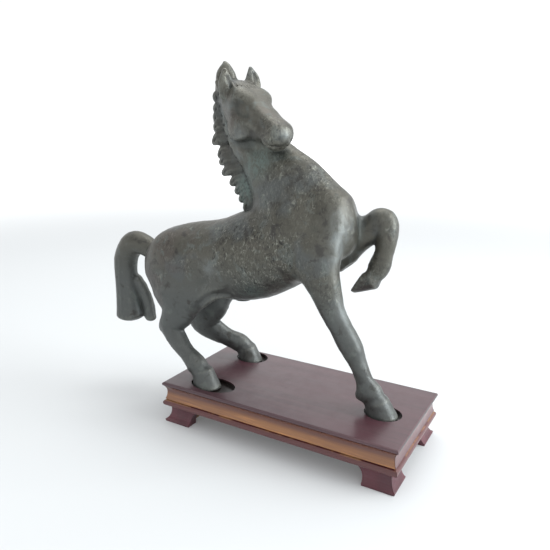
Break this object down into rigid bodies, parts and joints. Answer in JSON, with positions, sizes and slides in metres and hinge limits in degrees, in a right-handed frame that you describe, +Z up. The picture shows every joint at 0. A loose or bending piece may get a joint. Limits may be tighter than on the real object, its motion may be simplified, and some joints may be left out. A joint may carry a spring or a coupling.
{
  "type": "horse statuette on stand",
  "caption": "Rearing bronze horse with a raised foreleg, standing in hoof sockets on a low wooden stand with bracket feet.",
  "frame": {"origin": "centre of the bounding box, on the surface the stand rests on", "axes": "+X along the stand towards the horse's head end, +Y to the horse's left, +Z up"},
  "size_m": [0.2934, 0.098, 0.286],
  "materials": {
    "bronze": "patinated bronze, dark grey green and brown, worn satin, fine cast pitting",
    "dark_wood": "dark red brown satin lacquer",
    "pale_wood": "amber brown satin lacquer over open grain",
    "block_wood": "bare sawn wood",
    "steel": "dull steel"
  },
  "bodies": {
    "stand": {"brad_front": "steel", "brad_left_1": "steel", "brad_left_2": "steel", "brad_rear": "steel", "brad_right_1": "steel", "brad_right_2": "steel", "front_base_rail": "dark_wood", "front_bracket_1": "dark_wood", "front_bracket_2": "dark_wood", "front_cove": "pale_wood", "left_base_rail": "dark_wood", "left_bracket_1": "dark_wood", "left_bracket_2": "dark_wood", "left_cove": "pale_wood", "left_front_brace": "block_wood", "left_front_glue_block": "block_wood", "left_front_screw": "steel", "left_rear_brace": "block_wood", "left_rear_glue_block": "block_wood", "left_rear_screw": "steel", "rear_base_rail": "dark_wood", "rear_bracket_1": "dark_wood", "rear_bracket_2": "dark_wood", "rear_cove": "pale_wood", "right_base_rail": "dark_wood", "right_bracket_1": "dark_wood", "right_bracket_2": "dark_wood", "right_cove": "pale_wood", "right_front_brace": "block_wood", "right_front_glue_block": "block_wood", "right_front_screw": "steel", "right_rear_brace": "block_wood", "right_rear_glue_block": "block_wood", "right_rear_screw": "steel", "top_panel": "dark_wood"},
    "horse": {"horse_casting": "bronze", "core_plug": "bronze"}
  },
  "joints": [
    {"name": "horse_lift", "type": "slide", "parent": "stand", "child": "horse", "axis": [0, 0, 1], "range_m": [0, 0.04]}
  ]
}
